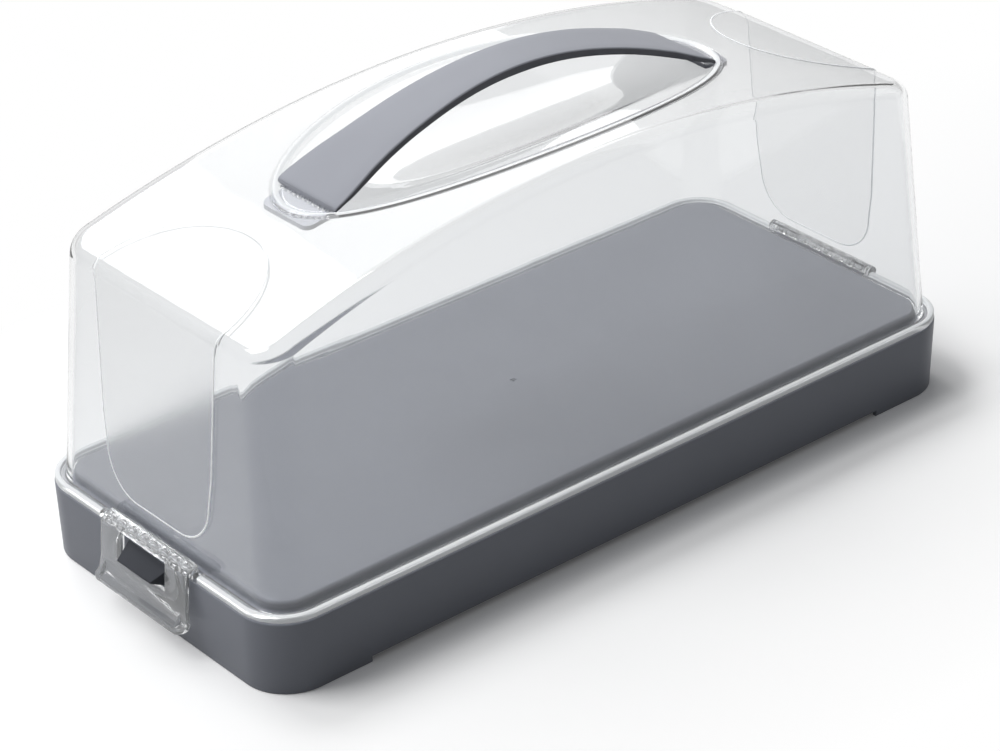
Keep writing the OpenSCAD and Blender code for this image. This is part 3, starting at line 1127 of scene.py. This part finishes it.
def add_camera():
    """Camera at the photograph's place, turned by its heading, tilt and roll."""
    place = Vector((-0.8257, -0.9928, 0.7815))
    heading, tilt, roll = 0.6984, 0.5283, -0.0214
    ahead = math.cos(tilt)
    forward = Vector((math.sin(heading) * ahead, math.cos(heading) * ahead, -math.sin(tilt)))
    level = Vector((math.cos(heading), -math.sin(heading), 0))
    upward = level.cross(forward)
    right = math.cos(roll) * level + math.sin(roll) * upward
    up = math.cos(roll) * upward - math.sin(roll) * level
    camera = bpy.data.cameras.new("camera")
    camera.sensor_width = 36
    camera.lens = 124.6
    camera.shift_x = -0.0242
    camera.shift_y = 0.0269
    camera.clip_end = 50
    holder = bpy.data.objects.new("camera", camera)
    turn = Matrix((right, up, -forward)).transposed().to_4x4()
    holder.matrix_world = Matrix.Translation(place) @ turn
    bpy.context.scene.collection.objects.link(holder)
    bpy.context.scene.camera = holder


def build_stage(finishes):
    scene = bpy.context.scene
    scene.view_settings.view_transform = "Standard"
    light_world()
    add_lamp("key", (-1.2, 0.85, 2.1), (0, 0, 0.08), (1.4, 1.4), 45, mirrored=False)
    add_lamp("back", (0.0, 1.7, 1.9), (0, 0, 0.08), (1.2, 1.0), 23, mirrored=False)
    add_lamp("window", (0.88, 1.43, 1.37), (0, 0, 0.15), (0.95, 1.3), 5.2)
    half_floor = 4.0
    shape = bmesh.new()
    bmesh.ops.create_grid(shape, x_segments=1, y_segments=1, size=half_floor)
    mesh = bpy.data.meshes.new("floor")
    shape.to_mesh(mesh)
    shape.free()
    floor = add_object("floor", mesh)
    floor.location.z = -0.02 * MM
    floor.data.materials.append(floor_material(finishes.floor))
    add_camera()


# ---------------------------------------------------------------- operators


def settings():
    return bpy.context.scene.carrier


def material_for(name, maker):
    """The material of this name, made on first use."""
    return bpy.data.materials.get(name) or maker(name)


def base_plastic():
    tint = settings().finishes.base
    return material_for("slate_satin", lambda name: moulded_plastic(name, tint, 0.42, 0.2))


def shaded_catch_plastic():
    """The base's plastic on the catches, duller and with a coarser grain, and darkened by painted shade
    that stands in for the shadow under the clip.
    """
    # painted shade: the catches get a darker copy of the base's tint, standing in for the clip's shadow
    tint = shaded(settings().finishes.base, 0.27)
    return material_for("catch_satin", lambda name: moulded_plastic(name, tint, 0.6, 0.5, 0.08))


def strap_plastics():
    """The strap's satin top, a copy darkened by painted shade for its edges and underside, and a copy
    lightened by painted light for its hidden ends under the clear roof.
    """
    tint = settings().finishes.strap
    # the darker share is painted shade on the sides and underside; the paler share is painted light, the
    # clear roof's sheen over the hidden ends
    shares = {"strap_satin": 1.0, "strap_under": 0.5, "strap_end": 1.3}
    return [
        material_for(name, lambda name: moulded_plastic(name, shaded(tint, shares[name]), 0.5, 0.3))
        for name in shares
    ]


def clear_set(*names):
    """The clear plastic in the finishes that are named, in their order."""
    tint = settings().finishes.clear
    makers = {
        "hood_clear": {},
        "hood_frosted": {"roughness": 0.24, "milk": 0.07},
        # bright_edge, clip_edge and panel_rib carry a painted glow: emission that stands in for light on
        # their edges
        "bright_edge": {"roughness": 0.2, "milk": 0.62, "shade": 0.9, "painted_glow": 0.12},
        "hood_rim": {"milk": 0.06, "shade": 0.9},
        "clip_clear": {"milk": 0.1, "shade": 0.8},
        "clip_edge": {"roughness": 0.15, "milk": 0.6, "shade": 0.85, "painted_glow": 0.3},
        "panel_rib": {"roughness": 0.3, "milk": 0.8, "shade": 0.9, "painted_glow": 0.2},
    }
    return [
        material_for(name, lambda name: clear_plastic(name, tint, **makers[name])) for name in names
    ]


class CARRIER_OT_stage(bpy.types.Operator):
    """Set up the floor, the studio light and the camera"""

    bl_idname = "carrier.stage"
    bl_label = "Stage"

    def execute(self, context):
        build_stage(settings().finishes)
        return {"FINISHED"}


class CARRIER_OT_base(bpy.types.Operator):
    """Build the serving base with its raised tray and corner feet"""

    bl_idname = "carrier.base"
    bl_label = "Serving base"

    def execute(self, context):
        build_base(settings().base, base_plastic())
        return {"FINISHED"}


class CARRIER_OT_catches(bpy.types.Operator):
    """Build the two snap catches on the base's short walls"""

    bl_idname = "carrier.catches"
    bl_label = "Catches"

    def execute(self, context):
        for side in ("left", "right"):
            build_catch(settings().base, shaded_catch_plastic(), side)
        return {"FINISHED"}


class CARRIER_OT_hood(bpy.types.Operator):
    """Build the clear hood with its dish, end panels, rim and rods"""

    bl_idname = "carrier.hood"
    bl_label = "Hood"

    def execute(self, context):
        s = settings()
        form = HoodForm(s.hood, s.base)
        finishes = clear_set("hood_clear", "hood_frosted", "bright_edge", "hood_rim")
        build_hood(form, s.clip, s.strap, finishes)
        for side in ("left", "right"):
            build_panel_rib(form, clear_set("panel_rib")[0], side)
        return {"FINISHED"}


class CARRIER_OT_strap(bpy.types.Operator):
    """Build the carrying strap that bows up over the dish"""

    bl_idname = "carrier.strap"
    bl_label = "Strap"

    def execute(self, context):
        s = settings()
        build_strap(HoodForm(s.hood, s.base), s.strap, strap_plastics())
        return {"FINISHED"}


class CARRIER_OT_clips(bpy.types.Operator):
    """Build the two clear snap clips"""

    bl_idname = "carrier.clips"
    bl_label = "Clips"

    def execute(self, context):
        for side in ("left", "right"):
            build_clip(settings().clip, clear_set("clip_clear", "clip_edge"), side)
        return {"FINISHED"}


class CarrierSettings(bpy.types.PropertyGroup):
    """Everything about the carrier that a user would change."""

    base: PointerProperty(type=BaseSizes, name="Base", description="Serving base")
    hood: PointerProperty(type=HoodSizes, name="Hood", description="Clear hood")
    strap: PointerProperty(type=StrapSizes, name="Strap", description="Carrying strap")
    clip: PointerProperty(type=ClipSizes, name="Clips", description="Snap clips")
    finishes: PointerProperty(type=Finishes, name="Finishes", description="Colours")


PIECE_OPERATORS = (
    CARRIER_OT_stage,
    CARRIER_OT_base,
    CARRIER_OT_catches,
    CARRIER_OT_hood,
    CARRIER_OT_strap,
    CARRIER_OT_clips,
)


class CARRIER_PT_panel(bpy.types.Panel):
    """Buttons for the pieces, and their sizes and colours."""

    bl_idname = "CARRIER_PT_panel"
    bl_label = "Cake carrier"
    bl_space_type = "VIEW_3D"
    bl_region_type = "UI"
    bl_category = "Carrier"

    def draw(self, context):
        for operator in PIECE_OPERATORS:
            self.layout.operator(operator.bl_idname)
        for name in ("base", "hood", "strap", "clip", "finishes"):
            group = getattr(context.scene.carrier, name)
            box = self.layout.box()
            box.label(text=name.capitalize())
            for size in group.__annotations__:
                box.prop(group, size)


CLASSES = (
    BaseSizes,
    HoodSizes,
    StrapSizes,
    ClipSizes,
    Finishes,
    CarrierSettings,
    *PIECE_OPERATORS,
    CARRIER_PT_panel,
)


def register():
    for item in CLASSES:
        bpy.utils.register_class(item)
    bpy.types.Scene.carrier = PointerProperty(type=CarrierSettings)


def unregister():
    del bpy.types.Scene.carrier
    for item in reversed(CLASSES):
        bpy.utils.unregister_class(item)


def main():
    register()
    for name in ("stage", "base", "catches", "hood", "strap", "clips"):
        getattr(bpy.ops.carrier, name)()


if __name__ == "__main__":
    main()
